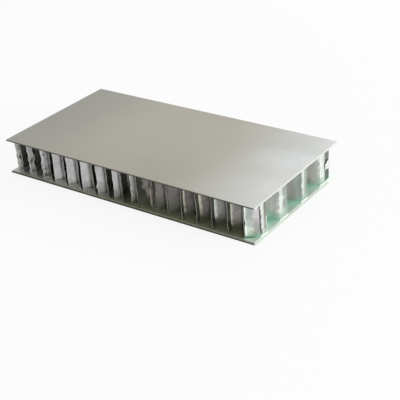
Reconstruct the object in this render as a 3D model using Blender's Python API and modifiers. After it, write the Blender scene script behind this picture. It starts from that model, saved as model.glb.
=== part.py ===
"""Aluminium honeycomb sandwich panel: a cut sample with two face sheets, two adhesive films and
an expanded core of corrugated foil ribbons that are glued to each other at their flats.

Frame: metres, +Z up, X along the long side and Y along the short side, with -Y at the front.
The origin is the centre of the underside.
"""

import math

import bmesh
import bpy

MM = 0.001

# Whole panel
PANEL_LENGTH = 200.0 * MM
PANEL_WIDTH = 100.0 * MM
PANEL_THICKNESS = 25.0 * MM

# Face sheets
SKIN_THICKNESS = 1.0 * MM
SKIN_EDGE_BREAK = 0.12 * MM

# Adhesive films between the face sheets and the core
FILM_THICKNESS = 0.25 * MM
FILM_MARGIN = 0.8 * MM
FACE_BOND_GAP = 0.05 * MM

# Foil ribbons of the core
FOIL_THICKNESS = 0.08 * MM
NODE_BOND_GAP = 0.04 * MM
CELL_WALL = 7.4 * MM
OPENING_ANGLE = math.radians(53.0)
BEND_RADIUS = 0.8 * MM
BEND_STEPS = 1

# Where the core ends, measured inwards from the edges of the face sheets
CORE_INSET_FRONT = 2.3 * MM
CORE_INSET_BACK = 3.5 * MM
CORE_INSET_RIGHT = 3.5 * MM
LEAST_CORE_INSET_LEFT = 1.2 * MM

# How the cell pattern lies against the front cut, and where it was pulled out of line
CUT_BEHIND_FLATS = 0.6 * MM
MIDDLE_STRETCH = 4.6 * MM
STRETCH_REACH = 46.0 * MM
MIDDLE_SLIP = 1.8 * MM
SLIP_REACH = 24.0 * MM
LEFT_SLIP = 1.6 * MM
LEFT_REACH = 30.0 * MM
RIGHT_SET_BACK = 4.3 * MM
SET_BACK_PLACE = 72.0 * MM
SET_BACK_REACH = 47.0 * MM
SET_BACK_EDGE = 9.0 * MM
EDGE_SPRING = 1.8 * MM
EDGE_SLIP = 1.2 * MM
EDGE_REACH = 3.0 * MM

# Flats of the free right edge, from the front: how far each was pushed back, and how much it grew
FREE_FLAT_MOVES = (1.6 * MM, -0.8 * MM, 1.1 * MM, 1.1 * MM)
FREE_FLAT_GROWTH = (-0.4 * MM, 1.4 * MM, 0.1 * MM, 4.4 * MM)
LEAST_SLANT_RUN = 2.2 * MM

# Colours: base colour, metallic, roughness
FINISHES = {
    "satin_face_sheet": ((0.62, 0.61, 0.58), 1.0, 0.38),
    "core_foil": ((0.78, 0.78, 0.79), 1.0, 0.22),
    "green_adhesive": ((0.22, 0.43, 0.33), 0.0, 0.35),
}

# Sizes that follow from the ones above
film_length = PANEL_LENGTH - 2 * FILM_MARGIN
film_width = PANEL_WIDTH - 2 * FILM_MARGIN
core_floor = SKIN_THICKNESS + FILM_THICKNESS + 2 * FACE_BOND_GAP
core_height = PANEL_THICKNESS - 2 * core_floor
core_front = -PANEL_WIDTH / 2 + CORE_INSET_FRONT
core_depth = PANEL_WIDTH - CORE_INSET_FRONT - CORE_INSET_BACK
core_right = PANEL_LENGTH / 2 - CORE_INSET_RIGHT
ribbon_pitch = CELL_WALL * math.sin(OPENING_ANGLE)
slant_run = CELL_WALL * math.cos(OPENING_ANGLE)
pattern_period = 2 * (CELL_WALL + slant_run)
ribbon_room = PANEL_LENGTH - CORE_INSET_RIGHT - LEAST_CORE_INSET_LEFT
ribbon_count = int(ribbon_room / ribbon_pitch)


def clear_scene():
    for obj in list(bpy.data.objects):
        bpy.data.objects.remove(obj, do_unlink=True)


def make_material(name):
    colour, metallic, roughness = FINISHES[name]
    material = bpy.data.materials.new(name)
    material.use_nodes = True
    shader = material.node_tree.nodes["Principled BSDF"]
    shader.inputs["Base Color"].default_value = (*colour, 1.0)
    shader.inputs["Metallic"].default_value = metallic
    shader.inputs["Roughness"].default_value = roughness
    material.diffuse_color = (*colour, 1.0)
    return material


def add_object(name, mesh, material, collection, parent, location):
    obj = bpy.data.objects.new(name, mesh)
    mesh.materials.append(material)
    obj.location = location
    obj.parent = parent
    collection.objects.link(obj)
    return obj


def sheet_mesh(name, length, width, thickness):
    """A flat rectangular sheet, centred on X and Y, with its underside at Z = 0."""
    bm = bmesh.new()
    bmesh.ops.create_cube(bm, size=1.0)
    bmesh.ops.translate(bm, verts=bm.verts, vec=(0.0, 0.0, 0.5))
    bmesh.ops.scale(bm, verts=bm.verts, vec=(length, width, thickness))
    mesh = bpy.data.meshes.new(name)
    bm.to_mesh(mesh)
    bm.free()
    return mesh


def add_skin(name, underside, material, collection, parent):
    """A face sheet, its edges just broken so that they aren't knife sharp."""
    mesh = sheet_mesh(name, PANEL_LENGTH, PANEL_WIDTH, SKIN_THICKNESS)
    skin = add_object(name, mesh, material, collection, parent, (0.0, 0.0, underside))
    bevel = skin.modifiers.new("edge_break", "BEVEL")
    bevel.width = SKIN_EDGE_BREAK
    bevel.segments = 1
    bevel.limit_method = "ANGLE"
    return skin


def add_film(name, underside, material, collection, parent):
    mesh = sheet_mesh(name, film_length, film_width, FILM_THICKNESS)
    return add_object(name, mesh, material, collection, parent, (0.0, 0.0, underside))


def fade(distance, reach):
    return math.exp(-((distance / reach) ** 2))


def flats_line(number):
    """Where glued flats stand in a row: their X, and the start of the first ones behind the cut.

    Rows are counted from the right end of the core. The expanded foil was pulled forward around
    the middle of the panel and at its left end, and back in its right half, where the front cut
    runs through the flats. The free right edge sprang outwards.
    """
    x = core_right - number * ribbon_pitch
    edge = fade(core_right - x, EDGE_REACH)
    slip = MIDDLE_SLIP * fade(x, SLIP_REACH) + LEFT_SLIP * fade(x + PANEL_LENGTH / 2, LEFT_REACH)
    set_back = RIGHT_SET_BACK * fade(x - SET_BACK_PLACE, SET_BACK_REACH)
    set_back *= 1.0 - fade(core_right - x, SET_BACK_EDGE)
    first = EDGE_SLIP * edge + set_back - slip - CUT_BEHIND_FLATS - CELL_WALL
    if number % 2 == 0:
        first += pattern_period / 2
    return x + MIDDLE_STRETCH * fade(x, STRETCH_REACH) + EDGE_SPRING * edge, first


def right_flat(index, repeat, first):
    """Where one flat at a ribbon's right starts and ends. Those of the free edge are uneven."""
    start = first + repeat * pattern_period
    end = start + CELL_WALL
    if index == 0 and 0 <= repeat < len(FREE_FLAT_MOVES):
        start += FREE_FLAT_MOVES[repeat]
        end += FREE_FLAT_MOVES[repeat] + FREE_FLAT_GROWTH[repeat]
    return start, end


def corrugation_corners(index):
    """Sharp corners of one ribbon's centreline, as (x, y) from its left flats and the front cut."""
    right_x, right_first = flats_line(index)
    left_x, left_first = flats_line(index + 1)
    if left_first < right_first:
        left_first += pattern_period
    reach = right_x - left_x - FOIL_THICKNESS - NODE_BOND_GAP
    corners = []
    for repeat in range(-2, int(core_depth / pattern_period) + 2):
        right_start, right_end = right_flat(index, repeat, right_first)
        left_start = left_first + repeat * pattern_period
        left_end = left_start + CELL_WALL
        corners.append((reach, right_start))
        corners.append((reach, right_end))
        corners.append((0.0, max(left_start, right_end + LEAST_SLANT_RUN)))
        corners.append((0.0, left_end))
    return corners


def round_corner(before, corner, after):
    """Points of the bend that replaces one sharp corner."""
    way_in = math.atan2(corner[1] - before[1], corner[0] - before[0])
    way_out = math.atan2(after[1] - corner[1], after[0] - corner[0])
    turn = way_out - way_in
    set_back = BEND_RADIUS * math.tan(abs(turn) / 2)
    side = math.copysign(1.0, turn)
    x = corner[0] - set_back * math.cos(way_in)
    y = corner[1] - set_back * math.sin(way_in)
    centre_x = x - side * BEND_RADIUS * math.sin(way_in)
    centre_y = y + side * BEND_RADIUS * math.cos(way_in)
    points = []
    for step in range(BEND_STEPS + 1):
        heading = way_in + turn * step / BEND_STEPS
        points.append(
            (
                centre_x + side * BEND_RADIUS * math.sin(heading),
                centre_y - side * BEND_RADIUS * math.cos(heading),
            )
        )
    return points


def point_at_depth(start, end, depth):
    share = (depth - start[1]) / (end[1] - start[1])
    return (start[0] + share * (end[0] - start[0]), depth)


def ribbon_line(index):
    """The centreline of one ribbon from the front cut to the back cut, with rounded bends."""
    corners = corrugation_corners(index)
    line = []
    for before, corner, after in zip(corners, corners[1:], corners[2:]):
        line += round_corner(before, corner, after)
    inside = [point for point in line if 0.0 < point[1] < core_depth]
    first = line.index(inside[0])
    last = line.index(inside[-1])
    front_end = point_at_depth(line[first - 1], line[first], 0.0)
    back_end = point_at_depth(line[last], line[last + 1], core_depth)
    return [front_end, *inside, back_end]


def strip_mesh(name, line, height):
    """An open upright strip that follows the line."""
    bm = bmesh.new()
    feet = [bm.verts.new((x, y, 0.0)) for x, y in line]
    edges = [bm.edges.new(pair) for pair in zip(feet, feet[1:])]
    raised = bmesh.ops.extrude_edge_only(bm, edges=edges)
    tops = [item for item in raised["geom"] if isinstance(item, bmesh.types.BMVert)]
    bmesh.ops.translate(bm, verts=tops, vec=(0.0, 0.0, height))
    bmesh.ops.recalc_face_normals(bm, faces=bm.faces)
    mesh = bpy.data.meshes.new(name)
    bm.to_mesh(mesh)
    bm.free()
    return mesh


def add_ribbon(index, material, collection, parent):
    name = f"foil_ribbon_{index + 1:02d}"
    mesh = strip_mesh(name, ribbon_line(index), core_height)
    left_flats = flats_line(index + 1)[0] + (FOIL_THICKNESS + NODE_BOND_GAP) / 2
    location = (left_flats, core_front, core_floor)
    ribbon = add_object(name, mesh, material, collection, parent, location)
    shell = ribbon.modifiers.new("foil_gauge", "SOLIDIFY")
    shell.thickness = FOIL_THICKNESS
    shell.offset = 0.0
    shell.use_even_offset = True
    return ribbon


def build_panel():
    clear_scene()
    panel = bpy.data.collections.new("honeycomb_panel")
    bpy.context.scene.collection.children.link(panel)
    underside = bpy.data.objects.new("panel_underside", None)
    panel.objects.link(underside)
    face_sheet = make_material("satin_face_sheet")
    foil = make_material("core_foil")
    adhesive = make_material("green_adhesive")

    top_underside = PANEL_THICKNESS - SKIN_THICKNESS
    add_skin("bottom_face_sheet", 0.0, face_sheet, panel, underside)
    add_skin("top_face_sheet", top_underside, face_sheet, panel, underside)
    lower_film = SKIN_THICKNESS + FACE_BOND_GAP
    upper_film = top_underside - FACE_BOND_GAP - FILM_THICKNESS
    add_film("bottom_adhesive_film", lower_film, adhesive, panel, underside)
    add_film("top_adhesive_film", upper_film, adhesive, panel, underside)
    for index in range(ribbon_count):
        add_ribbon(index, foil, panel, underside)


build_panel()
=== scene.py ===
import math

import bmesh
import bpy
from mathutils import Matrix, Vector, noise


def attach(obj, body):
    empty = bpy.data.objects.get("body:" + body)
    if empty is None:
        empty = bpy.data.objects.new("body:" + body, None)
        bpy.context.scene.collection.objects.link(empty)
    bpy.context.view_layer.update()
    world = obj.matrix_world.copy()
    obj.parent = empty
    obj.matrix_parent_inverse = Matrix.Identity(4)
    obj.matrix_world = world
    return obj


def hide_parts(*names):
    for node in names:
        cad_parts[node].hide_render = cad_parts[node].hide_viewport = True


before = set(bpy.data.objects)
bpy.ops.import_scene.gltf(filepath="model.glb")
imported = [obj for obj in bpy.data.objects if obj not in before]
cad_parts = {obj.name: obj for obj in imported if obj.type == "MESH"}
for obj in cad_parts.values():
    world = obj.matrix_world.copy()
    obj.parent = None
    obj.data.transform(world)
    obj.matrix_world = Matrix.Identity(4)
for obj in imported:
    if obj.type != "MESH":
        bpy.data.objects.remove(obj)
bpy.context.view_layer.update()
scene = bpy.context.scene
mm = 0.001
print("frame loaded:", len(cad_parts), "nodes")

# camera, floor and light

cameraSettings = {
    "place": (0.36612, -0.44945, 0.29621),
    "right": (0.8151746, 0.5754036, -0.0663406),
    "down": (0.2305358, -0.4273881, -0.8741812),
    "ahead": (-0.5313601, 0.6973164, -0.4810470),
    "lens": 86.874,
    "sensor": 36.0,
    "clip": (0.02, 20.0),
}

studio = {
    "floorColour": (0.93, 0.93, 0.93),
    "floorGlow": 0.84,  # share of the floor that shows as plain white
    "floorSize": 6.0,
    "floorDrop": 0.2 * mm,
    "skyDiffuse": 0.68,  # what lights the panel
    "skySeen": 1.0,  # what the eye and the metal see
    "keyPlace": (-0.12, 1.02, 0.62),
    "keySize": 0.55,
    "keyPower": 2.5,
    "sidePlace": (1.05, -0.05, 0.45),
    "sideSize": 0.60,
    "sidePower": 5.0,
}


def addCamera(settings):
    data = bpy.data.cameras.new("photoCamera")
    data.lens = settings["lens"]
    data.sensor_width = settings["sensor"]
    data.clip_start, data.clip_end = settings["clip"]
    camera = bpy.data.objects.new("photoCamera", data)
    columns = [Vector(settings["right"]), -Vector(settings["down"]), -Vector(settings["ahead"])]
    turn = Matrix(columns).transposed().to_4x4()
    camera.matrix_world = Matrix.Translation(settings["place"]) @ turn
    scene.collection.objects.link(camera)
    scene.camera = camera


def wire(tree, start, end):
    tree.links.new(start, end)


def addNode(tree, kind, place, **settings):
    node = tree.nodes.new(kind)
    node.location = place
    for key, value in settings.items():
        setattr(node, key, value)
    return node


def combine(tree, operation, first, second, place, clamp=False):
    node = addNode(tree, "ShaderNodeMath", place, operation=operation, use_clamp=clamp)
    wire(tree, first, node.inputs[0])
    wire(tree, second, node.inputs[1])
    return node.outputs[0]


def seenByEyeOrMetal(tree, place):
    # 1 for camera, glossy and transmission rays, else 0
    x, y = place
    path = addNode(tree, "ShaderNodeLightPath", place)
    camera, glossy = path.outputs["Is Camera Ray"], path.outputs["Is Glossy Ray"]
    either = combine(tree, "MAXIMUM", camera, glossy, (x + 200, y))
    return combine(tree, "MAXIMUM", either, path.outputs["Is Transmission Ray"], (x + 400, y))


def addFloor(settings):
    half = settings["floorSize"] / 2
    low = -settings["floorDrop"]
    mesh = bpy.data.meshes.new("studioFloor")
    corners = [(-half, -half, low), (half, -half, low), (half, half, low), (-half, half, low)]
    mesh.from_pydata(corners, [], [(0, 1, 2, 3)])
    floor = bpy.data.objects.new("studioFloor", mesh)
    scene.collection.objects.link(floor)
    material = bpy.data.materials.new("studioFloor")
    material.use_nodes = True
    tree = material.node_tree
    shader = tree.nodes["Principled BSDF"]
    shader.inputs["Base Color"].default_value = (*settings["floorColour"], 1.0)
    shader.inputs["Roughness"].default_value = 0.9
    shader.inputs["Specular IOR Level"].default_value = 0.1
    glow = addNode(tree, "ShaderNodeEmission", (0, -300))
    share = addNode(tree, "ShaderNodeMath", (100, 300), operation="MULTIPLY")
    share.inputs[1].default_value = settings["floorGlow"]
    wire(tree, seenByEyeOrMetal(tree, (-500, 300)), share.inputs[0])
    mix = addNode(tree, "ShaderNodeMixShader", (300, 0))
    wire(tree, share.outputs[0], mix.inputs["Fac"])
    wire(tree, shader.outputs[0], mix.inputs[1])
    wire(tree, glow.outputs[0], mix.inputs[2])
    wire(tree, mix.outputs[0], tree.nodes["Material Output"].inputs["Surface"])
    mesh.materials.append(material)


def addSky(settings):
    world = bpy.data.worlds.new("studioSky")
    world.use_nodes = True
    tree = world.node_tree
    sky = tree.nodes["Background"]
    sky.inputs["Color"].default_value = (1.0, 1.0, 1.0, 1.0)
    level = addNode(tree, "ShaderNodeMapRange", (0, -200))
    level.inputs["To Min"].default_value = settings["skyDiffuse"]
    level.inputs["To Max"].default_value = settings["skySeen"]
    wire(tree, seenByEyeOrMetal(tree, (-600, -200)), level.inputs["Value"])
    wire(tree, level.outputs[0], sky.inputs["Strength"])
    scene.world = world


def addSoftbox(name, place, size, power):
    data = bpy.data.lights.new(name, "AREA")
    data.shape = "SQUARE"
    data.size = size
    data.energy = power
    lamp = bpy.data.objects.new(name, data)
    lamp.location = place
    lamp.rotation_mode = "QUATERNION"
    lamp.rotation_quaternion = (-Vector(place)).to_track_quat("-Z", "Y")
    scene.collection.objects.link(lamp)


addCamera(cameraSettings)
addFloor(studio)
addSky(studio)
for lamp in ("key", "side"):
    addSoftbox(lamp + "Softbox", studio[lamp + "Place"], studio[lamp + "Size"], studio[lamp + "Power"])
scene.view_settings.view_transform = "Standard"
print("camera, floor and light are set")

# effects that the materials share


def startGroup(name, inputs, outputs):
    tree = bpy.data.node_groups.new(name, "ShaderNodeTree")
    for label, start in inputs:
        kind = "NodeSocketColor" if isinstance(start, tuple) else "NodeSocketFloat"
        socket = tree.interface.new_socket(name=label, in_out="INPUT", socket_type=kind)
        socket.default_value = start
    for label in outputs:
        kind = "NodeSocketColor" if label == "Color" else "NodeSocketFloat"
        tree.interface.new_socket(name=label, in_out="OUTPUT", socket_type=kind)
    given = addNode(tree, "NodeGroupInput", (-900, 0))
    result = addNode(tree, "NodeGroupOutput", (900, 0))
    return tree, given, result


def placeGroup(tree, group, place, **values):
    node = addNode(tree, "ShaderNodeGroup", place, node_tree=group)
    for key, value in values.items():
        node.inputs[key].default_value = value
    return node


def makeRolledGrain():
    # fine lines that a rolling mill leaves along one direction
    inputs = [("LinesX", 40.0), ("LinesY", 1500.0), ("LinesZ", 1500.0)]
    tree, given, result = startGroup("rolledGrain", inputs, ["Height"])
    where = addNode(tree, "ShaderNodeTexCoord", (-900, 300))
    lines = addNode(tree, "ShaderNodeCombineXYZ", (-600, -100))
    for axis in "XYZ":
        wire(tree, given.outputs["Lines" + axis], lines.inputs[axis])
    stretched = addNode(tree, "ShaderNodeVectorMath", (-300, 100), operation="MULTIPLY")
    wire(tree, where.outputs["Object"], stretched.inputs[0])
    wire(tree, lines.outputs[0], stretched.inputs[1])
    grain = addNode(tree, "ShaderNodeTexNoise", (0, 100))
    grain.inputs["Scale"].default_value = 1.0
    grain.inputs["Detail"].default_value = 3.0
    wire(tree, stretched.outputs[0], grain.inputs["Vector"])
    wire(tree, grain.outputs[0], result.inputs["Height"])
    return tree


def makeHandlingMarks():
    # soft blotches: wiped films, finger marks, uneven sheen
    inputs = [("Size", 60.0), ("From", 0.45), ("To", 0.65)]
    tree, given, result = startGroup("handlingMarks", inputs, ["Mask", "Height"])
    where = addNode(tree, "ShaderNodeTexCoord", (-900, 300))
    cloud = addNode(tree, "ShaderNodeTexNoise", (-500, 200))
    cloud.inputs["Detail"].default_value = 4.0
    cloud.inputs["Roughness"].default_value = 0.55
    wire(tree, where.outputs["Object"], cloud.inputs["Vector"])
    wire(tree, given.outputs["Size"], cloud.inputs["Scale"])
    cut = addNode(tree, "ShaderNodeMapRange", (-100, 200), interpolation_type="SMOOTHSTEP")
    wire(tree, cloud.outputs[0], cut.inputs["Value"])
    wire(tree, given.outputs["From"], cut.inputs["From Min"])
    wire(tree, given.outputs["To"], cut.inputs["From Max"])
    wire(tree, cut.outputs[0], result.inputs["Mask"])
    wire(tree, cloud.outputs[0], result.inputs["Height"])
    return tree


def makeTwoTones():
    # one colour over another by a mask
    grey = (0.5, 0.5, 0.5, 1.0)
    inputs = [("Under", grey), ("Over", grey), ("Mask", 0.0), ("Amount", 1.0)]
    tree, given, result = startGroup("twoTones", inputs, ["Color"])
    share = combine(tree, "MULTIPLY", given.outputs["Mask"], given.outputs["Amount"], (-300, -100), True)
    mix = addNode(tree, "ShaderNodeMix", (100, 0), data_type="RGBA")
    wire(tree, share, mix.inputs[0])
    wire(tree, given.outputs["Under"], mix.inputs[6])  # colour A
    wire(tree, given.outputs["Over"], mix.inputs[7])  # colour B
    wire(tree, mix.outputs[2], result.inputs["Color"])
    return tree


rolledGrain = makeRolledGrain()
handlingMarks = makeHandlingMarks()
twoTones = makeTwoTones()


def startMaterial(name, metallic):
    material = bpy.data.materials.new(name)
    material.use_nodes = True
    tree = material.node_tree
    shader = tree.nodes["Principled BSDF"]
    shader.location = (600, 0)
    tree.nodes["Material Output"].location = (900, 0)
    shader.inputs["Metallic"].default_value = metallic
    return material, tree, shader


def layTone(tree, under, over, mask, amount, place):
    # under and over are colours, or sockets that carry one
    node = placeGroup(tree, twoTones, place, Amount=amount)
    for label, tone in (("Under", under), ("Over", over)):
        if isinstance(tone, tuple):
            node.inputs[label].default_value = (*tone, 1.0)
        else:
            wire(tree, tone, node.inputs[label])
    wire(tree, mask, node.inputs["Mask"])
    return node.outputs["Color"]


rising = (0.0, 1.0)
falling = (1.0, 0.0)


def rangeOf(tree, value, edges, ends, place):
    # eases from the first end to the second while the value crosses the edges
    node = addNode(tree, "ShaderNodeMapRange", place, interpolation_type="SMOOTHSTEP")
    node.inputs["From Min"].default_value = edges[0]
    node.inputs["From Max"].default_value = edges[1]
    node.inputs["To Min"].default_value = ends[0]
    node.inputs["To Max"].default_value = ends[1]
    wire(tree, value, node.inputs["Value"])
    return node.outputs[0]


def axesOf(tree, vector, place):
    node = addNode(tree, "ShaderNodeSeparateXYZ", place)
    wire(tree, vector, node.inputs[0])
    return node.outputs


def readAttribute(tree, name, place):
    node = addNode(tree, "ShaderNodeAttribute", place, attribute_name=name)
    return node.outputs["Fac"]


def bumpFrom(tree, height, strength, distance, place, under=None):
    node = addNode(tree, "ShaderNodeBump", place)
    node.inputs["Strength"].default_value = strength
    node.inputs["Distance"].default_value = distance
    wire(tree, height, node.inputs["Height"])
    if under is not None:
        wire(tree, under, node.inputs["Normal"])
    return node.outputs[0]


def layTones(tree, colour, layers, place):
    # each layer is a colour or a socket that carries one, its mask and its amount
    for step, (over, mask, amount) in enumerate(layers):
        colour = layTone(tree, colour, over, mask, amount, (place[0] + 120 * step, place[1]))
    return colour


def dress(nodeName, material):
    # gives one of the CAD solids its material
    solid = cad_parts[nodeName].data
    solid.materials.clear()
    solid.materials.append(material)


# satin face sheets: the CAD solids with a mill finish and cut edges

# upper and lower: painted shade on the long edges, above and below the seam; short: a painted highlight on the
# short edges
faceSheets = {
    "top_face_sheet": {
        "upper": (0.130, 0.125, 0.108),
        "lower": (0.070, 0.066, 0.052),
        "seam": 24.6 * mm,
        "short": (0.86, 0.88, 0.84),
        "shortMargin": 0.2 * mm,
    },
    "bottom_face_sheet": {
        "upper": (0.060, 0.056, 0.036),
        "lower": (0.014, 0.013, 0.009),
        "seam": 0.85 * mm,
        "short": (0.84, 0.90, 0.82),
        "shortMargin": 1.2 * mm,  # how far the painted highlight of the right end reaches in over the sheet
    },
}

mill = {
    "satin": (0.385, 0.365, 0.310),
    "shadedLeftEnd": (0.292, 0.290, 0.258),  # painted shade over the left end
    "litRightEnd": (0.520, 0.530, 0.515),  # painted highlight over the right end
    # painted shade towards the back of the right end
    "shadedBackCorner": (0.36, 0.37, 0.36),
    # painted reflection in lighter patches over the right end
    "sheenPatches": (0.54, 0.56, 0.56),
    "dull": (0.315, 0.297, 0.250),
    "roughness": (0.30, 0.40),
    "grainDepth": 0.03 * mm,
    # where these tones come in, along the length and from front to back
    "dimZone": (-95.0 * mm, -25.0 * mm),
    "coolZone": (30.0 * mm, 100.0 * mm),
    "sheenPatchZone": (50.0 * mm, 90.0 * mm),
    "backZone": (-30.0 * mm, 45.0 * mm),
    # how squarely a face looks along Y or X before it counts as a cut edge
    "longEdge": (0.60, 0.75),
    "shortEdge": (0.40, 0.75),
    "seamBlur": 0.15 * mm,
    "marginBlur": 0.2 * mm,
    "halfLength": 100.0 * mm,
}


def makeSheetMaterial(name, edges):
    # painted shade on the long edges, which face front and back, and a painted highlight on the short ones
    material, tree, shader = startMaterial(name, 1.0)
    sheenPatches = placeGroup(tree, handlingMarks, (-600, 300), Size=26.0, From=0.50, To=0.75)
    dull = placeGroup(tree, handlingMarks, (-600, 100), Size=9.0, From=0.42, To=0.72)
    where = addNode(tree, "ShaderNodeTexCoord", (-1100, -200))
    facing = addNode(tree, "ShaderNodeVectorMath", (-900, -200), operation="ABSOLUTE")
    wire(tree, where.outputs["Normal"], facing.inputs[0])
    turned = axesOf(tree, facing.outputs[0], (-700, -200))
    x, y, z = axesOf(tree, where.outputs["Object"], (-700, -500))
    onLong = rangeOf(tree, turned["Y"], mill["longEdge"], rising, (-400, -150))
    onShort = rangeOf(tree, turned["X"], mill["shortEdge"], rising, (-400, -350))
    seam, blur = edges["seam"], mill["seamBlur"]
    upper = rangeOf(tree, z, (seam - blur, seam + blur), rising, (-400, -550))
    shadedLongEdge = layTone(tree, edges["lower"], edges["upper"], upper, 1.0, (-100, -250))
    # masks for the painted highlight at the right end and the painted shade at the left end
    rightEnd = rangeOf(tree, x, mill["coolZone"], rising, (-600, 500))
    # painted reflection in lighter patches over the right end
    sheenShare = rangeOf(tree, x, mill["sheenPatchZone"], (0.0, 0.55), (-600, 700))
    patches = combine(tree, "MULTIPLY", sheenPatches.outputs["Mask"], sheenShare, (-400, 600))
    leftEnd = rangeOf(tree, x, mill["dimZone"], falling, (-600, 900))
    # painted shade towards the back of the right end
    toBack = rangeOf(tree, y, mill["backZone"], rising, (-600, 1100))
    shadedBackCorner = combine(tree, "MULTIPLY", toBack, rightEnd, (-400, 1000))
    end, blur = mill["halfLength"] - edges["shortMargin"], mill["marginBlur"]
    margin = rangeOf(tree, x, (end - blur, end + blur), rising, (100, 500))
    layers = (
        (mill["dull"], dull.outputs["Mask"], 0.45),
        (mill["shadedLeftEnd"], leftEnd, 0.9),
        (mill["litRightEnd"], rightEnd, 0.9),
        (mill["shadedBackCorner"], shadedBackCorner, 0.9),
        (mill["sheenPatches"], patches, 1.0),
        # painted shade on the long edges, painted highlights on the short edges and in a margin along the
        # right end
        (shadedLongEdge, onLong, 0.96),
        (edges["short"], onShort, 0.95),
        (edges["short"], margin, 0.9),
    )
    colour = layTones(tree, mill["satin"], layers, (-300, 200))
    wire(tree, colour, shader.inputs["Base Color"])
    sheen = rangeOf(tree, sheenPatches.outputs["Height"], (0.3, 0.7), mill["roughness"], (0, -50))
    wire(tree, sheen, shader.inputs["Roughness"])
    grain = placeGroup(tree, rolledGrain, (-300, -550), LinesX=30.0, LinesY=1600.0, LinesZ=1600.0)
    normal = bumpFrom(tree, grain.outputs["Height"], 0.25, mill["grainDepth"], (200, -400))
    wire(tree, normal, shader.inputs["Normal"])
    return material


for nodeName, edges in faceSheets.items():
    dress(nodeName, makeSheetMaterial(nodeName.replace("_face_sheet", "FaceSheet"), edges))
print("face sheets finished")

# green adhesive films: the CAD solids with a cured glue surface

adhesive = {
    "mint": (0.50, 0.78, 0.64),
    "pale": (0.74, 0.88, 0.80),
    "deep": (0.26, 0.50, 0.37),
    "greyEnd": (0.48, 0.48, 0.455),  # grey at the left end
    "olive": (0.270, 0.275, 0.165),  # painted shade along the front
    "corner": (0.62, 0.70, 0.60),  # in front of the corner wall
    "margin": (0.44, 0.43, 0.32),  # the bare margin at the front edge
    "litRim": (0.97, 1.0, 0.95),  # painted highlight along the right edge
    "metallic": 0.45,
    "roughness": 0.30,
    "specular": 0.5,
}


# where the tones of the glue come in or end, along the length (X) and from front to back (Y)
glueZones = {
    "leftEnd": ("X", (-45.0 * mm, 5.0 * mm), falling),
    "front": ("Y", (-35.0 * mm, -25.0 * mm), falling),
    "beforeCorner": ("X", (88.5 * mm, 92.5 * mm), falling),
    "cornerFront": ("Y", (-45.0 * mm, -41.5 * mm), falling),
    # painted highlight: paler film towards the right edge, and the bright rim
    "litNearRim": ("X", (90.0 * mm, 97.2 * mm), rising),
    "rightRim": ("X", (98.0 * mm, 98.5 * mm), rising),
    "frontRim": ("Y", (-49.1 * mm, -48.6 * mm), falling),
}


def makeAdhesiveMaterial(name, settings):
    # thin tinted glue over bright metal, so it mirrors a little like the metal under it
    material, tree, shader = startMaterial(name, settings["metallic"])
    pale = placeGroup(tree, handlingMarks, (-900, 300), Size=160.0, From=0.50, To=0.62)
    deep = placeGroup(tree, handlingMarks, (-900, 100), Size=75.0, From=0.50, To=0.66)
    where = addNode(tree, "ShaderNodeTexCoord", (-1300, -200))
    spot = axesOf(tree, where.outputs["Object"], (-1100, -200))
    zones = {}
    for step, (zone, (axis, edges, ends)) in enumerate(glueZones.items()):
        zones[zone] = rangeOf(tree, spot[axis], edges, ends, (-900, -100 - 200 * step))
    # painted shade along the front, up to the corner wall
    along = combine(tree, "MULTIPLY", zones["front"], zones["beforeCorner"], (-700, -350))
    atCorner = combine(tree, "SUBTRACT", zones["cornerFront"], zones["beforeCorner"], (-700, -550), True)
    layers = (
        ("pale", pale.outputs["Mask"], 0.6),
        ("deep", deep.outputs["Mask"], 0.35),
        ("olive", along, 0.92),
        ("greyEnd", zones["leftEnd"], 0.95),
        # painted highlight: paler towards the right edge
        ("pale", zones["litNearRim"], 0.75),
        ("corner", atCorner, 0.85),
        ("margin", zones["frontRim"], 0.9),
        ("litRim", zones["rightRim"], 0.95),
    )
    colour = layTones(tree, settings["mint"], [(settings[tone], *rest) for tone, *rest in layers], (-500, 200))
    wire(tree, colour, shader.inputs["Base Color"])
    rims = combine(tree, "MAXIMUM", zones["rightRim"], zones["frontRim"], (100, -100))
    metal = rangeOf(tree, rims, rising, (settings["metallic"], 0.05), (300, -100))
    wire(tree, metal, shader.inputs["Metallic"])
    shader.inputs["Roughness"].default_value = settings["roughness"]
    shader.inputs["Specular IOR Level"].default_value = settings["specular"]
    normal = bumpFrom(tree, pale.outputs["Height"], 0.5, 0.4 * mm, (200, -300))
    wire(tree, normal, shader.inputs["Normal"])
    return material


adhesiveMaterial = makeAdhesiveMaterial("greenAdhesive", adhesive)
for nodeName in ("top_adhesive_film", "bottom_adhesive_film"):
    dress(nodeName, adhesiveMaterial)
print("adhesive films finished")

# where the foil runs: the same layout as the CAD core

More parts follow.
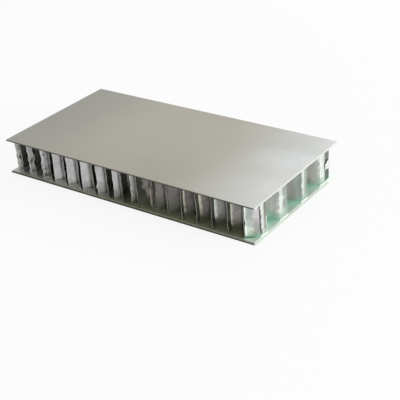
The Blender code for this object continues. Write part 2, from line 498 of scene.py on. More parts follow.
coreLayout = {
    "panelLength": 200.0 * mm,
    "floor": 1.35 * mm,
    "height": 22.3 * mm,
    "front": -47.7 * mm,
    "depth": 94.2 * mm,
    "right": 96.5 * mm,
    "foil": 0.08 * mm,
    "bondGap": 0.04 * mm,
    "cellWall": 7.4 * mm,
    "opening": math.radians(53.0),
    "bendRadius": 0.8 * mm,
    "bendSteps": 3,
    "behindFlats": 0.6 * mm,
    "middleStretch": 4.6 * mm,
    "stretchReach": 46.0 * mm,
    "middleSlip": 1.8 * mm,
    "slipReach": 24.0 * mm,
    "leftSlip": 1.6 * mm,
    "leftReach": 30.0 * mm,
    "rightSetBack": 4.3 * mm,
    "setBackPlace": 72.0 * mm,
    "setBackReach": 47.0 * mm,
    "setBackEdge": 9.0 * mm,
    "edgeSpring": 1.8 * mm,
    "edgeSlip": 1.2 * mm,
    "edgeReach": 3.0 * mm,
    "freeFlatMoves": (1.6 * mm, -0.8 * mm, 1.1 * mm, 1.1 * mm),
    "freeFlatGrowth": (-0.4 * mm, 1.4 * mm, 0.1 * mm, 4.4 * mm),
    "leastSlantRun": 2.2 * mm,
    "ribbons": 33,
}
ribbonPitch = coreLayout["cellWall"] * math.sin(coreLayout["opening"])
slantRun = coreLayout["cellWall"] * math.cos(coreLayout["opening"])
period = 2 * (coreLayout["cellWall"] + slantRun)


def partWay(start, end, share):
    return start + share * (end - start)


def fade(distance, reach):
    return math.exp(-((distance / reach) ** 2))


def smooth(low, high, value):
    # 0 at low, 1 at high, eased; high may also be the smaller
    share = min(max((value - low) / (high - low), 0.0), 1.0)
    return share * share * (3.0 - 2.0 * share)


def flatsLine(number):
    lay = coreLayout
    x = lay["right"] - number * ribbonPitch
    edge = fade(lay["right"] - x, lay["edgeReach"])
    slip = lay["middleSlip"] * fade(x, lay["slipReach"])
    slip += lay["leftSlip"] * fade(x + lay["panelLength"] / 2, lay["leftReach"])
    setBack = lay["rightSetBack"] * fade(x - lay["setBackPlace"], lay["setBackReach"])
    setBack *= 1.0 - fade(lay["right"] - x, lay["setBackEdge"])
    first = lay["edgeSlip"] * edge + setBack - slip - lay["behindFlats"] - lay["cellWall"]
    if number % 2 == 0:
        first += period / 2
    return x + lay["middleStretch"] * fade(x, lay["stretchReach"]) + lay["edgeSpring"] * edge, first


def rightFlat(index, repeat, first):
    # the flats of the free right edge are uneven
    lay = coreLayout
    start = first + repeat * period
    end = start + lay["cellWall"]
    if index == 0 and 0 <= repeat < len(lay["freeFlatMoves"]):
        start += lay["freeFlatMoves"][repeat]
        end += lay["freeFlatMoves"][repeat] + lay["freeFlatGrowth"][repeat]
    return start, end


def ribbonCorners(index):
    lay = coreLayout
    rightX, rightFirst = flatsLine(index)
    leftX, leftFirst = flatsLine(index + 1)
    if leftFirst < rightFirst:
        leftFirst += period
    reach = rightX - leftX - lay["foil"] - lay["bondGap"]
    corners = []
    for repeat in range(-2, int(lay["depth"] / period) + 2):
        rightStart, rightEnd = rightFlat(index, repeat, rightFirst)
        leftStart = leftFirst + repeat * period
        leftEnd = leftStart + lay["cellWall"]
        leftStart = max(leftStart, rightEnd + lay["leastSlantRun"])
        corners += [(reach, rightStart), (reach, rightEnd), (0.0, leftStart), (0.0, leftEnd)]
    return corners, reach, leftX + (lay["foil"] + lay["bondGap"]) / 2


def roundCorner(before, corner, after):
    radius = coreLayout["bendRadius"]
    steps = coreLayout["bendSteps"]
    wayIn = math.atan2(corner[1] - before[1], corner[0] - before[0])
    wayOut = math.atan2(after[1] - corner[1], after[0] - corner[0])
    turn = wayOut - wayIn
    setBack = radius * math.tan(abs(turn) / 2)
    side = math.copysign(1.0, turn)
    x = corner[0] - setBack * math.cos(wayIn)
    y = corner[1] - setBack * math.sin(wayIn)
    centreX = x - side * radius * math.sin(wayIn)
    centreY = y + side * radius * math.cos(wayIn)
    points = []
    for step in range(steps + 1):
        heading = wayIn + turn * step / steps
        x = centreX + side * radius * math.sin(heading)
        y = centreY - side * radius * math.cos(heading)
        points.append((x, y))
    return points


def pointAtDepth(start, end, depth):
    share = (depth - start[1]) / (end[1] - start[1])
    return (partWay(start[0], end[0], share), depth)


def ribbonLine(index):
    # the centreline as x from its left flats and depth, its reach, and the world x of those flats
    corners, reach, leftX = ribbonCorners(index)
    line = []
    for before, corner, after in zip(corners, corners[1:], corners[2:]):
        line += roundCorner(before, corner, after)
    inside = [point for point in line if 0.0 < point[1] < coreLayout["depth"]]
    first = line.index(inside[0])
    last = line.index(inside[-1])
    frontEnd = pointAtDepth(line[first - 1], line[first], 0.0)
    backEnd = pointAtDepth(line[last], line[last + 1], coreLayout["depth"])
    return [frontEnd, *inside, backEnd], reach, leftX


# foil ribbons: buckled walls, ragged cuts and a thin real gauge

foilSheet = {
    "rows": 30,
    "stepAtCut": 0.40 * mm,
    "stepInside": 2.4 * mm,
    "cutZone": 9.0 * mm,
    "pull": 0.32 * mm,  # how far the whole core wanders from its drawn lines
    "pullSize": 13.0 * mm,
    "buckle": 0.16 * mm,  # how far a single wall bellies
    "buckleAlong": 4.2 * mm,
    "buckleUp": 13.0 * mm,
    "heldPower": 0.6,  # how soon the walls come free of the films that hold their feet
    "looseAtCut": 1.1,
    "looseReach": 4.0 * mm,
    "crumple": 0.05 * mm,
    "crumpleSize": 1.9 * mm,
    "ragged": 0.13 * mm,  # how uneven the cut is
    "burr": 0.17 * mm,  # how far the cut edge is pushed aside
    "burrReach": 0.8 * mm,
    "fold": 0.20 * mm,  # the lip on the far side of each open cell mouth
    "foldLeft": 0.75 * mm,  # and in the left half
    "foldReach": 0.45 * mm,
    "foldReachLeft": 1.1 * mm,
    "tearZone": 6.0 * mm,  # how much of a wall gives way behind a torn cut
    "touching": 0.02 * mm,  # points this near the line of the flats are glued
}

# What sets a ribbon apart, by its number from the right end, with lengths in mm. rough: bad handling;
# tear, unevenTear: how far its front cut is torn back; fold, foldReach: the lip at its cut; mottled: its
# colour; brownReflection, greenReflection: painted reflection at its front; paintedShade: painted shade
# there; bendHighlight: the painted highlight along its first bend, cool or cream, and lowShadeSpared: kept
# clear of the painted low shade; gap, gapFrom: dull walls in the cell mouth; shadow: the painted shadow at
# its cut, its width above and below; dullEdge: no bright line at the cut; lowShadeHigher: the painted low
# shade reaching higher; lightFold: a light low part behind the cut; shadeFrom: the share of its reach where
# it turns away
ribbonTraits = {
    0: {"tear": 0.8, "unevenTear": 0.9, "mottled": 0.1},
    1: {"rough": 1.5, "brownReflection": 0.4, "greenReflection": 0.6, "gap": 0.6},
    2: {"rough": 1.8, "unevenTear": 0.9, "brownReflection": 0.72, "bendHighlight": 1.2, "lowShadeSpared": 1},
    3: {"brownReflection": 0.25, "greenReflection": 0.8},
    4: {"unevenTear": 0.3, "brownReflection": 0.66, "greenReflection": 0.4, "bendHighlight": 1.1, "cool": 1},
    5: {"fold": 0.5, "brownReflection": 0.2, "greenReflection": 0.9},
    6: {"unevenTear": 0.5, "brownReflection": 0.92, "paintedShade": 0.12, "bendHighlight": 1.5},
    7: {"brownReflection": 0.4, "greenReflection": 0.7},
    8: {"unevenTear": 0.4, "brownReflection": 0.95, "paintedShade": 0.36, "bendHighlight": 0.9},
    9: {"brownReflection": 0.4, "greenReflection": 0.7},
    10: {"unevenTear": 0.2, "brownReflection": 0.90, "greenReflection": 0.5, "lowShadeHigher": 3.5},
    12: {"tear": 0.2, "unevenTear": 0.2, "brownReflection": 0.84, "lowShadeHigher": 3.0,
         "shadow": ("shadowBrown", 1.0, 1.3), "dullEdge": 5},
    13: {"rough": 1.3, "fold": 0.6, "foldReach": 1.6, "lightFold": 1},
    14: {"rough": 1.4, "tear": -2.0, "brownReflection": 0.95, "shadow": ("shadowGreen", 1.8, 3.8), "dullEdge": 5},
    15: {"fold": 1.2, "foldReach": 1.6, "brownReflection": 0.6, "greenReflection": 1.0, "gap": 0.95, "gapFrom": (1.2, 2.4)},
    16: {"tear": 2.1, "unevenTear": 0.3, "brownReflection": 0.05, "greenReflection": 0.9, "bendHighlight": 2.9, "cool": 1},
    17: {"greenReflection": 0.9, "gap": 0.95},
    18: {"tear": 0.6, "unevenTear": 0.5, "greenReflection": 0.2},
    19: {"gap": 0.75},
    20: {"tear": 0.2, "unevenTear": 0.9},
    22: {"tear": 0.4},
    24: {"tear": 0.3, "unevenTear": 0.5},
    26: {"tear": 0.5, "unevenTear": 0.3, "mottled": 0.25},
    27: {"rough": 1.3, "paintedShade": 0.4, "mottled": 0.5},
    28: {"rough": 1.9, "tear": 1.4, "unevenTear": 1.2, "mottled": 0.75, "shadeFrom": 0.55},
    29: {"rough": 1.7, "fold": -1.4, "mottled": 0.5, "gap": 0.85},
    30: {"rough": 2.4, "tear": 0.4, "unevenTear": 1.2, "mottled": 1.0, "shadeFrom": 0.5},
    31: {"rough": 2.2, "fold": -0.4, "mottled": 0.6, "gap": 0.75},
    32: {"rough": 2.6, "tear": 0.9, "unevenTear": 0.9, "brownReflection": 0.15, "paintedShade": 0.18, "mottled": 0.7},
}


def trait(index, name, usual=0.0):
    return ribbonTraits.get(index, {}).get(name, usual)


def brownReflectionOf(index):
    if index % 2 == 0:
        return trait(index, "brownReflection")
    return trait(index, "brownReflection", 0.5 * (trait(index - 1, "brownReflection") + trait(index + 1, "brownReflection")))


def stepAt(depth):
    toCut = min(depth, coreLayout["depth"] - depth)
    share = smooth(0.4 * foilSheet["cutZone"], foilSheet["cutZone"], toCut)
    return partWay(foilSheet["stepAtCut"], foilSheet["stepInside"], share)


def refine(line):
    # adds points along the straight walls, close together near the two cuts
    finer = [line[0]]
    for start, end in zip(line, line[1:]):
        length = math.dist(start, end)
        pieces = max(1, math.ceil(length / stepAt((start[1] + end[1]) / 2) - 0.05))
        for piece in range(1, pieces + 1):
            share = piece / pieces
            finer.append((partWay(start[0], end[0], share), partWay(start[1], end[1], share)))
    return finer


def cloud(x, y, z, size, seed):
    return noise.noise(Vector((x / size + 31.7 * seed, y / size - 17.3 * seed, z / size + 5.9 * seed)))


def wave(first, second, along, size):
    return noise.noise(Vector((first, second, along / size)))


def leftHalf(x):
    return 1.0 - smooth(-4.0 * mm, 12.0 * mm, x)


def foldAt(line, x, z, toCut):
    # how far the lip at the front end of a row of flats is pushed to the right
    settings = foilSheet
    left = leftHalf(x)
    size = trait(line, "fold") * mm or partWay(settings["fold"], settings["foldLeft"], left)
    reach = trait(line, "foldReach") * mm or partWay(settings["foldReach"], settings["foldReachLeft"], left)
    size *= math.exp(-((toCut / reach) ** 2))
    return size * (0.8 + 0.7 * wave(line * 1.7, 2.0, z, 4.5 * mm))


def cutEdgeShift(index, place, share, toCut, run, side, along, atFront, pairedAtCut):
    # how a torn, folded and dented cut moves the points near it
    settings = foilSheet
    z = place.z
    held = math.sin(math.pi * share) ** settings["heldPower"]
    rough = trait(index, "rough", 1.0)
    end = -1.0 if atFront else 1.0
    near = math.exp(-toCut / settings["burrReach"])
    ragged = settings["ragged"] * near * rough
    ragged *= (0.25 + 0.75 * held) * wave(index * 5.7, end * 4.0, z, 2.6 * mm)
    shift = Vector((0.0, end * ragged, 0.0))
    shift += side * settings["burr"] * near * held * rough * wave(index * 3.3, end * 9.0, z, 4.5 * mm)
    if not atFront:
        return shift
    if run < settings["tearZone"]:
        uneven = trait(index, "unevenTear") * mm * held * wave(index * 1.3, 3.0, z, 4.6 * mm)
        torn = trait(index, "tear") * mm * (0.7 + 0.3 * held) + uneven
        shift += along * torn * (1.0 - run / settings["tearZone"])
    if index % 2 == 1 or pairedAtCut:
        line = index if index % 2 == 1 else index + 1  # the row of flats that it meets at the front
        shift.x += foldAt(line, place.x, z, toCut)
    return shift


def ribbonSurface(index):
    # its middle surface as columns of points from the front cut to the back cut, and for each
    # column the distance to the nearer cut, the depth and the share of the ribbon's reach
    settings = foilSheet
    lay = coreLayout
    line, reach, leftX = ribbonLine(index)
    path = refine(line)
    rough = trait(index, "rough", 1.0)
    touching = settings["touching"]
    columns, places = [], []
    run = 0.0
    pairedAtCut = index % 2 == 0 and path[0][0] < touching
    for step, (px, py) in enumerate(path):
        before = path[max(step - 1, 0)]
        after = path[min(step + 1, len(path) - 1)]
        length = math.dist(before, after)
        run += math.dist(before, (px, py))
        along = Vector(((after[0] - before[0]) / length, (after[1] - before[1]) / length, 0.0))
        side = Vector((along.y, -along.x, 0.0))
        glued = px < touching or (px > reach - touching and index > 0)
        free = 0.0 if glued else 1.0
        toCut = min(py, lay["depth"] - py)
        atFront = py < lay["depth"] / 2
        loose = 1.0 + settings["looseAtCut"] * math.exp(-toCut / settings["looseReach"])
        column = []
        for row in range(settings["rows"] + 1):
            share = row / settings["rows"]
            spot = Vector((leftX + px, lay["front"] + py, lay["floor"] + share * lay["height"]))
            held = math.sin(math.pi * share) ** settings["heldPower"]
            sway = cloud(*spot, settings["pullSize"], 1.0)
            drift = 0.5 * cloud(*spot, settings["pullSize"], 2.0)
            belly = wave(index * 7.1, run / settings["buckleAlong"], spot.z, settings["buckleUp"])
            fine = wave(run / settings["crumpleSize"], index * 3.9, spot.z, 1.6 * settings["crumpleSize"])
            bulge = settings["buckle"] * belly + settings["crumple"] * fine
            point = spot + settings["pull"] * held * loose * Vector((sway, drift, 0.0))
            point += side * held * loose * rough * free * bulge
            point += cutEdgeShift(index, spot, share, toCut, run, side, along, atFront, pairedAtCut)
            column.append(point)
        columns.append(column)
        places.append((toCut, py, px / reach))
    return columns, places


def shellFrom(columns, gauge):
    # two skins half a gauge off the middle surface, joined by a rim along every open edge
    count = len(columns)
    rows = len(columns[0])
    verts = []
    for side in (0.5, -0.5):
        for c in range(count):
            for r in range(rows):
                along = columns[min(c + 1, count - 1)][r] - columns[max(c - 1, 0)][r]
                up = columns[c][min(r + 1, rows - 1)] - columns[c][max(r - 1, 0)]
                normal = along.cross(up).normalized()
                verts.append(columns[c][r] + normal * gauge * side)
    back = count * rows
    faces = []
    for c in range(count - 1):
        for r in range(rows - 1):
            a = c * rows + r
            b = a + rows
            faces.append((a, b, b + 1, a + 1))
            faces.append((back + a, back + a + 1, back + b + 1, back + b))
            if r == 0:
                faces.append((a, back + a, back + b, b))
            if r == rows - 2:
                faces.append((a + 1, b + 1, back + b + 1, back + a + 1))
            if c == 0:
                faces.append((a, a + 1, back + a + 1, back + a))
            if c == count - 2:
                faces.append((b, back + b, back + b + 1, b + 1))
    return verts, faces


coat = {
    "bare": (0.505, 0.503, 0.505),
    "shaded": (0.300, 0.297, 0.292),  # the walls that turn away at the left half of the front
    "darkest": (0.035, 0.035, 0.032),
    "lowWallShade": (0.070, 0.072, 0.052),  # painted shade over the lower part of the front walls
    "spots": (0.30, 0.30, 0.29),  # share of the tone that is left in a mottled spot
    # painted reflection on the front walls, and a brown coat in patches further back
    "brown": (0.150, 0.126, 0.108),
    "cream": (0.56, 0.51, 0.42),  # painted highlight along the first bend of a front wall
    "lightFoldTone": (0.62, 0.57, 0.47),
    # painted greenish reflection
    "greenish": (0.24, 0.265, 0.24),
    "olive": (0.120, 0.128, 0.078),
    "greyGlue": (0.285, 0.28, 0.25),
    "gap": (0.17, 0.175, 0.145),  # dull walls inside a cell mouth
    "shadowGreen": (0.030, 0.034, 0.026),
    "shadowBrown": (0.042, 0.036, 0.028),
    "cool": (0.66, 0.69, 0.67),
    "mint": (0.30, 0.52, 0.40),
    "litBend": (0.92, 0.97, 0.92),  # painted highlight on the outer bends of the free right edge
    "corner": (0.44, 0.475, 0.45),
    "cornerFoot": (0.72, 0.82, 0.72),
    "cornerLilac": (0.70, 0.68, 0.70),
    "cornerLilacFoot": (0.39, 0.40, 0.37),
    # painted highlight along the cut of the corner wall
    "cornerEdgeHighlight": (0.95, 1.00, 0.95),
    "flats": (0.41, 0.465, 0.41),
    "firstFlat": (0.27, 0.30, 0.26),
    "slants": (0.38, 0.42, 0.375),
    # painted shade and reflection deep in the hollows
    "hollowShade": (0.32, 0.30, 0.28),
    "paleHollow": (0.60, 0.60, 0.57),
    # painted reflection of the green film at the feet
    "mintFootReflection": (0.50, 0.70, 0.58),
    # painted shade on the far wall of a hollow
    "shadedFarWall": (0.320, 0.375, 0.350),
    # painted shade on the wall where the flap tore out, greener at its foot
    "shadedTornWall": (0.20, 0.195, 0.185),
    "shadedTornFoot": (0.070, 0.105, 0.075),
}
# along the free right edge, in mm behind the front cut
freeEdge = {
    "corner": 6.0,
    # painted shade in a crease
    "creaseShade": (6.1, 6.75),
    # painted highlights on the outer bends
    "litBend": ((6.6, 10.3), (27.7, 32.0), (54.0, 57.0), (77.1, 84.0)),
    "farEdgeGlint": (13.0, 13.9),  # painted highlight: a thin bright line low down at the far bend of the first flat
    "firstHollow": (14.5, 30.0),
    # where the painted mint reflection at the feet begins
    "mintFrom": (14.0, 20.0),
    "shadedHollow": ((30.0, 0.62), (55.0, 0.50)),  # painted shade and reflection: from this depth on, hollows up to this share of the reach
    # painted shade on the far wall of a hollow
    "shadedFarWall": (50.9, 52.5),
    # painted shade in a far crease
    "farCreaseShade": (53.0, 53.9),
    # painted shade on the wall where the flap tore out
    "torn": (83.6, 89.6),
}
# how far the tones of the whole core spread; of two ends the first is the left or the front one
wear = {
    "front": (9.0 * mm, 16.0 * mm),  # behind the cut, where the front's tones end
    "frontWall": 7.0 * mm,
    "bendHighlightWall": 9.0 * mm,
    "gapFrom": (0.3, 1.2),
    "shadeFrom": 0.79,
    "mottled": 0.14,
    "lightFold": (1.3 * mm, 5.4 * mm),
    "glueRise": (2.0 * mm, 1.2 * mm),  # in the right and in the left half
    "oliveZone": (-45.0 * mm, 5.0 * mm),
    # painted shade over the lower part of the front walls: how high it reaches and how strong
    "lowShadeTop": (4.5 * mm, 9.5 * mm),
    "lowShadeTopZone": (-60.0 * mm, -10.0 * mm),
    "lowShade": (0.26, 0.80),
    "lowShadeZone": (-70.0 * mm, 30.0 * mm),
}


def blendTones(under, over, share):
    share = min(max(share, 0.0), 1.0)
    return tuple(u + (o - u) * share for u, o in zip(under, over))


def paint(tone, name, share):
    return blendTones(tone, coat[name], share)


def between(low, high, edge, value):
    half = edge / 2
    return smooth(low - half, low + half, value) * (1.0 - smooth(high - half, high + half, value))


def coatOn(index, point, place):
    # the tone of the foil, and how much of it is bare metal
    toCut, behind, reachShare = place
    lift = point.z - coreLayout["floor"]
    liftShare = lift / coreLayout["height"]
    ahead = 1.0 - smooth(*wear["front"], behind)
    left = leftHalf(point.x)
    onFrontWall = behind < wear["frontWall"]
    patch = 0.5 + 0.5 * cloud(*point, 7.0 * mm, 5.0)
    grain = cloud(*point, 3.0 * mm, 7.0)
    tone = coat["bare"]
    if index % 2 == 1:
        tone = paint(tone, "shaded", 0.7 * ahead * left)
    elif onFrontWall:
        begin = trait(index, "shadeFrom", wear["shadeFrom"])
        tone = paint(tone, "shaded", left * smooth(begin, begin + 0.07, reachShare + 0.05 * grain))
    # painted brown reflection at the front; further back, a brown coat in patches
    brownReflection = brownReflectionOf(index) * ahead * (0.88 + 0.24 * grain)
    tone = paint(tone, "brown", brownReflection + 0.28 * smooth(0.45, 0.8, patch) * (1.0 - ahead))
    # painted greenish reflection at the front
    greenReflection = trait(index, "greenReflection") * ahead * smooth(0.2, 0.8, patch + 0.6 * (reachShare - 0.4))
    tone = blendTones(tone, blendTones(coat["greenish"], coat["brown"], 0.6 * brownReflection), greenReflection)
    if index % 2 == 0 and index > 0:
        # painted reflection: the greenish end of the flats, beside the thin line of the cut
        tone = paint(tone, "greenish", 0.85 * ahead * (1.0 - left) * smooth(0.05, 0.0, reachShare))
    # painted shade at the front of some ribbons
    tone = paint(tone, "darkest", trait(index, "paintedShade") * ahead)
    gapStart, gapFull = trait(index, "gapFrom", wear["gapFrom"])
    gap = trait(index, "gap") * ahead * smooth(gapStart * mm, gapFull * mm, toCut)
    tone = paint(tone, "gap", gap)
    painted = max(brownReflection, gap)
    if trait(index, "shadow") and onFrontWall:
        # a painted shadow over the left of the wall, wider towards its foot
        shadowTone, upper, lower = trait(index, "shadow")
        edge = partWay(upper, lower, smooth(0.75, 0.15, liftShare)) + 0.5 * grain
        shadowed = 0.95 * (1.0 - smooth(edge - 0.5, edge + 0.5, toCut / mm))
        tone = paint(tone, shadowTone, shadowed)
        painted *= 1.0 - 0.85 * shadowed
    bendHighlight = trait(index, "bendHighlight") * mm
    lightStrip = 0.0
    if bendHighlight > 0.0 and behind < wear["bendHighlightWall"] and reachShare < 0.9:
        # a painted highlight along the first bend of the wall that faces the front
        edge = bendHighlight * (1.0 + 0.5 * grain) / ribbonPitch
        lightStrip = smooth(0.0, 0.03, reachShare) * (1.0 - smooth(0.5 * edge, 1.4 * edge, reachShare))
        lightStrip *= smooth(0.08, 0.28, liftShare + 0.1 * grain)
        tone = paint(tone, "cool" if trait(index, "cool") else "cream", lightStrip)
        painted *= 1.0 - lightStrip
        lightStrip *= smooth(0.10, 0.20, liftShare)
    glue = blendTones(coat["greyGlue"], coat["olive"], smooth(*wear["oliveZone"], point.x))
    rise = partWay(*wear["glueRise"], left)
    # painted shade over the lower part of the front walls
    lowShadeTop = partWay(*wear["lowShadeTop"], smooth(*wear["lowShadeTopZone"], point.x))
    lowShadeTop += trait(index, "lowShadeHigher") * mm
    lowShade = partWay(*wear["lowShade"], smooth(*wear["lowShadeZone"], point.x)) * ahead
    lowShade *= 1.0 - smooth(0.3 * lowShadeTop, 1.25 * lowShadeTop, lift + 2.5 * mm * grain)
    tone = paint(tone, "lowWallShade", lowShade * (1.0 - 0.9 * lightStrip * trait(index, "lowShadeSpared")))
    # a light low strip behind the cut
    if trait(index, "lightFold") > 0.0 and behind < coreLayout["depth"] / 2:
        lightStrip = trait(index, "lightFold") * between(*wear["lightFold"], 0.8 * mm, toCut)
        lightStrip *= 1.0 - smooth(0.55, 0.72, liftShare)
        tone = paint(tone, "lightFoldTone", lightStrip)
        painted = max(painted, lightStrip)
    if index == 0:
        tone, glue, rise, painted = freeEdgeCoat(behind / mm, toCut / mm, liftShare, reachShare, grain)
    spots = smooth(0.02, 0.42, cloud(*point, 1.7 * mm, 11.0))
    spots *= trait(index, "mottled", wear["mottled"]) * (0.35 + 0.65 * ahead)
    tone = tuple(t * (1.0 - spots * (1.0 - s)) for t, s in zip(tone, coat["spots"]))
    # painted shade under the top film
    shadeUnderTopFilm = 0.45 * ahead * smooth(0.90, 0.99, liftShare + 0.02 * grain)
    tone = tuple(t * (1.0 - shadeUnderTopFilm) for t in tone)
    rise *= 1.0 + 0.35 * cloud(point.x, point.y, 0.0, 5.0 * mm, 9.0)
    glued = 1.0 - smooth(0.3 * rise, 1.4 * rise, lift)
    return blendTones(tone, glue, glued), 1.0 - 0.7 * max(painted, 0.8 * glued)


def freeEdgeCoat(depth, toCut, liftShare, reachShare, grain):
    # the outermost ribbon: pale corner wall, painted highlights on the outer bends, and painted shade in the
    # hollows with a painted mint reflection at their feet
    if depth < freeEdge["corner"]:
        across = smooth(0.40, 0.62, reachShare + 0.2 * grain)
        low = 1.0 - smooth(0.22, 0.62, liftShare + 0.1 * grain)
        tone = blendTones(coat["corner"], coat["cornerFoot"], low)
        tone = blendTones(tone, blendTones(coat["cornerLilac"], coat["cornerLilacFoot"], low), across)
        # painted highlight along the cut of the corner wall
        tone = paint(tone, "cornerEdgeHighlight", 1.0 - smooth(0.7, 1.3, toCut + 0.5 * grain))
        return tone, coat["mint"], 2.2 * mm * (0.5 + reachShare), 0.0
    onFlats = smooth(0.85, 1.0, reachShare)
    start, end = freeEdge["firstHollow"]
    tone = blendTones(coat["slants"], coat["firstFlat" if depth < start else "flats"], onFlats)
    if start < depth < end:
        tone = paint(tone, "paleHollow", 1.0 - smooth(0.35, 0.7, reachShare))
    # painted shade and reflection deep in the later hollows
    shadedHollow = 0.0
    for start, upTo in freeEdge["shadedHollow"]:
        if depth > start:
            shadedHollow = 0.75 * (1.0 - smooth(upTo - 0.1, upTo + 0.1, reachShare + 0.15 * grain))
    tone = paint(tone, "hollowShade", shadedHollow)
    # painted shade on the far wall of a hollow
    tone = paint(tone, "shadedFarWall", 0.9 * between(*freeEdge["shadedFarWall"], 0.5, depth + 0.1 * grain))
    # painted highlights on the outer bends
    lean = depth - 1.8 * smooth(0.32, 0.0, liftShare) + 0.9 * grain
    for start, end in freeEdge["litBend"]:
        tone = paint(tone, "litBend", between(start, end, 0.9, lean) * onFlats)
    glint = between(*freeEdge["farEdgeGlint"], 0.6, depth) * smooth(0.55, 0.40, liftShare + 0.1 * grain)
    tone = paint(tone, "litBend", glint * onFlats)
    # painted mint reflection at the feet
    foot = smooth(*freeEdge["mintFrom"], depth) * (1.0 - smooth(0.04, 0.34, liftShare + 0.1 * grain))
    tone = paint(tone, "mintFootReflection", 0.8 * foot * onFlats)
    # painted shade in the creases
    for creaseShade, share in (("creaseShade", 0.8), ("farCreaseShade", 0.36)):
        tone = paint(tone, "darkest", share * between(*freeEdge[creaseShade], 0.4, depth + 0.4 * grain))
    # painted shade on the wall where the flap tore out, greener at its foot
    torn = 0.92 * between(*freeEdge["torn"], 0.6, depth + 0.8 * grain)
    lower = 1.0 - smooth(0.40, 0.55, liftShare)
    tone = blendTones(tone, blendTones(coat["shadedTornWall"], coat["shadedTornFoot"], lower), torn)
    rise = 1.6 + 2.8 * (1.0 - onFlats) * (1.0 - shadedHollow) * (1.0 + 0.8 * grain)
    return tone, coat["mint"], rise * mm, 0.0


# the point on the front wall of a ribbon where the foil was pricked, behind the cut and up the wall
pinhole = {
    "ribbon": 32,
    "depth": 1.8 * mm,
    "height": 11.9 * mm,
    "radius": 0.9 * mm,
    "ring": 1.7 * mm,
    "push": 0.7 * mm,
    "inwards": (-0.6, 0.8, 0.0),
}


def pinholeAt(columns, places):
    front = [c for c, place in enumerate(places) if place[1] < coreLayout["depth"] / 2]
    column = min(front, key=lambda c: abs(places[c][0] - pinhole["depth"]))
    return min(columns[column], key=lambda point: abs(point.z - pinhole["height"])).copy()


def prick(columns, centre):
    # pushes the foil inwards around the point
    inwards = Vector(pinhole["inwards"]) * pinhole["push"]
    for column in columns:
        for point in column:
            point += inwards * (1.0 - smooth(0.0, pinhole["radius"], (point - centre).length))


def foilObject(name, columns, tones, metals, cuts):
    # the shell around the columns, with the tone, metal and distance to the cut of each point
    verts, faces = shellFrom(columns, coreLayout["foil"])
    mesh = bpy.data.meshes.new(name)
    mesh.from_pydata([tuple(point) for point in verts], [], faces)
    mesh.shade_smooth()
    coatLayer = mesh.color_attributes.new("coat", "FLOAT_COLOR", "POINT")
    coatLayer.data.foreach_set("color", tones * 2)
    for label, values in (("bareMetal", metals), ("fromCut", cuts)):
        layer = mesh.attributes.new(label, "FLOAT", "POINT")
        layer.data.foreach_set("value", values * 2)
    mesh.materials.append(foilMaterial)
    piece = bpy.data.objects.new(name, mesh)
    scene.collection.objects.link(piece)
    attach(piece, "root")
    return piece


def addFoilRibbon(index):
    columns, places = ribbonSurface(index)
    centre = None
    if index == pinhole["ribbon"]:
        centre = pinholeAt(columns, places)
        prick(columns, centre)
    tones, metals, cuts = [], [], []
    for column, place in zip(columns, places):
        for point in column:
            tone, metal = coatOn(index, point, place)
            if centre is not None:
                # painted shade: a dark ring around the prick, standing in for the hole
                ring = 1.0 - smooth(pinhole["radius"], pinhole["ring"], (point - centre).length)
                tone = paint(tone, "darkest", 0.9 * ring)
                metal *= 1.0 - 0.7 * ring
            tones.extend((*tone, 1.0))
            metals.append(metal)
            cuts.append(place[0] / mm + trait(index, "dullEdge"))
    ribbon = foilObject(f"foilRibbon{index + 1:02d}", columns, tones, metals, cuts)
    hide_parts(f"foil_ribbon_{index + 1:02d}")
    return columns


foilFinish = {
    "cloudy": (0.87, 0.865, 0.87),
    # the cut edge is lighter: raw metal, with a painted highlight
    "cutEdge": (0.66, 0.66, 0.60),
    "roughness": (0.18, 0.32),
    "edgeZone": (0.05, 0.35),  # in mm from the cut
    "wrinkleDepth": 0.2 * mm,
}


def makeFoilMaterial(settings):
    material, tree, shader = startMaterial("coreFoil", 1.0)
    coatNode = addNode(tree, "ShaderNodeAttribute", (-1100, 400), attribute_name="coat")
    cloudy = placeGroup(tree, handlingMarks, (-1100, 100), Size=120.0, From=0.42, To=0.66)
    darkened = addNode(tree, "ShaderNodeMix", (-700, 400), data_type="RGBA", blend_type="MULTIPLY")
    darkened.inputs[7].default_value = (*settings["cloudy"], 1.0)
    wire(tree, cloudy.outputs["Mask"], darkened.inputs[0])
    wire(tree, coatNode.outputs["Color"], darkened.inputs[6])
    fromCut = readAttribute(tree, "fromCut", (-700, -100))
    atEdge = rangeOf(tree, fromCut, settings["edgeZone"], falling, (-500, -100))
    colour = layTone(tree, darkened.outputs[2], settings["cutEdge"], atEdge, 0.58, (100, 200))
    wire(tree, colour, shader.inputs["Base Color"])
    wire(tree, readAttribute(tree, "bareMetal", (100, -100)), shader.inputs["Metallic"])
    sheen = rangeOf(tree, cloudy.outputs["Height"], (0.3, 0.7), settings["roughness"], (0, -50))
    wire(tree, sheen, shader.inputs["Roughness"])
    streaks = placeGroup(tree, rolledGrain, (-500, -350), LinesX=420.0, LinesY=420.0, LinesZ=60.0)
    wrinkles = placeGroup(tree, handlingMarks, (-300, -550), Size=420.0, From=0.4, To=0.6)
    deep = settings["wrinkleDepth"]
    normal = bumpFrom(tree, streaks.outputs["Height"], 0.25, deep, (0, -400))
    normal = bumpFrom(tree, wrinkles.outputs["Height"], 0.25, deep, (200, -400), normal)
    wire(tree, normal, shader.inputs["Normal"])
    return material


foilMaterial = makeFoilMaterial(foilFinish)
ribbonWalls = [addFoilRibbon(index) for index in range(coreLayout["ribbons"])]
print("foil ribbons built:", coreLayout["ribbons"])

# glue fillets: the wicked-up bead along every foot of the foil

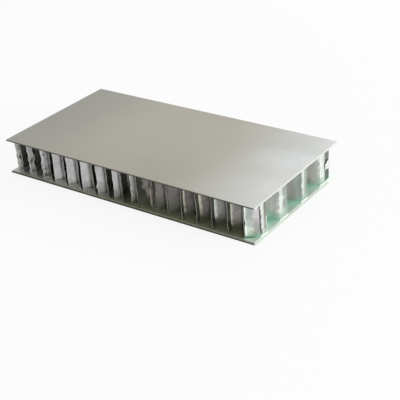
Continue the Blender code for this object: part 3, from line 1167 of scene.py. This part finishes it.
fillet = {
    "width": 0.60 * mm,  # on each side of the foil
    "rise": 0.75 * mm,
    "uneven": 0.45,
    "unevenSize": 4.0 * mm,
    "sink": 0.06 * mm,
    "profile": ((-1.0, 0.0), (-0.45, 0.20), (-0.12, 1.0), (0.12, 1.0), (0.45, 0.20), (1.0, 0.0)),
    # darker than the film
    "mint": (0.26, 0.50, 0.38),
    "pale": (0.40, 0.62, 0.50),
    "deep": (0.14, 0.32, 0.22),
    "greyEnd": (0.43, 0.43, 0.395),
    # painted shade along the front
    "olive": (0.105, 0.112, 0.070),
    "corner": (0.06, 0.14, 0.09),
    "margin": (0.50, 0.46, 0.31),
    "litRim": (0.97, 1.0, 0.95),
    "metallic": 0.10,
    "roughness": 0.60,
    "specular": 0.15,
}


def filletRings(foot, upward, seed):
    # one ring of the bead's profile at each point of a ribbon's foot
    rings = []
    for c, point in enumerate(foot):
        along = (foot[min(c + 1, len(foot) - 1)] - foot[max(c - 1, 0)]).normalized()
        side = Vector((along.y, -along.x, 0.0))
        swell = 1.0 + fillet["uneven"] * cloud(point.x, point.y, seed, fillet["unevenSize"], 13.0)
        ring = []
        for across, lift in fillet["profile"]:
            height = upward * (fillet["rise"] * swell * lift - fillet["sink"])
            ring.append(point + side * across * fillet["width"] * swell + Vector((0.0, 0.0, height)))
        rings.append(ring)
    return rings


def addGlueFillets(name, feet, upward, material):
    body = bmesh.new()
    for number, foot in enumerate(feet):
        rings = [[body.verts.new(point) for point in ring] for ring in filletRings(foot, upward, number * mm)]
        for ring, following in zip(rings, rings[1:]):
            for k in range(len(ring)):
                body.faces.new((ring[k - 1], ring[k], following[k], following[k - 1]))
        body.faces.new(rings[0])
        body.faces.new(rings[-1])
    bmesh.ops.recalc_face_normals(body, faces=body.faces)
    mesh = bpy.data.meshes.new(name)
    body.to_mesh(mesh)
    body.free()
    mesh.shade_smooth()
    mesh.materials.append(material)
    beads = bpy.data.objects.new(name, mesh)
    scene.collection.objects.link(beads)
    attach(beads, "root")


beadMaterial = makeAdhesiveMaterial("glueBead", fillet)
for name, row, upward in (("bottomGlueFillets", 0, 1.0), ("topGlueFillets", -1, -1.0)):
    feet = [[column[row] for column in wall] for wall in ribbonWalls]
    addGlueFillets(name, feet, upward, beadMaterial)
print("glue fillets built")

# a torn flap of foil that curls out of the last flat of the free right edge

flap = {
    "depth": 83.4 * mm,  # behind the front cut
    "width": 6.3 * mm,
    "foot": 10.2 * mm,
    "top": 15.6 * mm,
    "ragged": 1.1 * mm,
    "slope": 0.8 * mm,
    "least": 0.15 * mm,  # how near and how far from the wall it stands
    "most": 1.45 * mm,
    "stand": 0.65 * mm,
    "curl": 0.45 * mm,
    "columns": 18,
    "rows": 16,
    "tone": (0.95, 0.97, 0.95),
    "metal": 1.0,
    "fromCut": 5.0,
}


def addTornFlap(settings, wallX):
    columns = []
    start = coreLayout["front"] + settings["depth"]
    for c in range(settings["columns"] + 1):
        across = c / settings["columns"]
        bulge = math.sin(math.pi * min(1.0, 0.15 + 0.85 * across))
        column = []
        for r in range(settings["rows"] + 1):
            up = r / settings["rows"]
            z = partWay(settings["foot"], settings["top"], up)
            z += settings["ragged"] * wave(across * 2.3, 5.0, up, 0.7) + settings["slope"] * (across - 0.5)
            lift = settings["least"] + settings["stand"] * bulge * (0.4 + 0.6 * up)
            lift += settings["curl"] * (0.5 + wave(up * 1.9, across * 2.2, 1.0, 1.0)) * across
            lift = min(lift, settings["most"])
            column.append(Vector((wallX + lift, start + across * settings["width"], z)))
        columns.append(column)
    points = (settings["columns"] + 1) * (settings["rows"] + 1)
    tones = [*settings["tone"], 1.0] * points
    metals, cuts = [settings["metal"]] * points, [settings["fromCut"]] * points
    foilObject("tornFlap", columns, tones, metals, cuts)


addTornFlap(flap, coreLayout["right"] + coreLayout["edgeSpring"])
print("torn flap built")
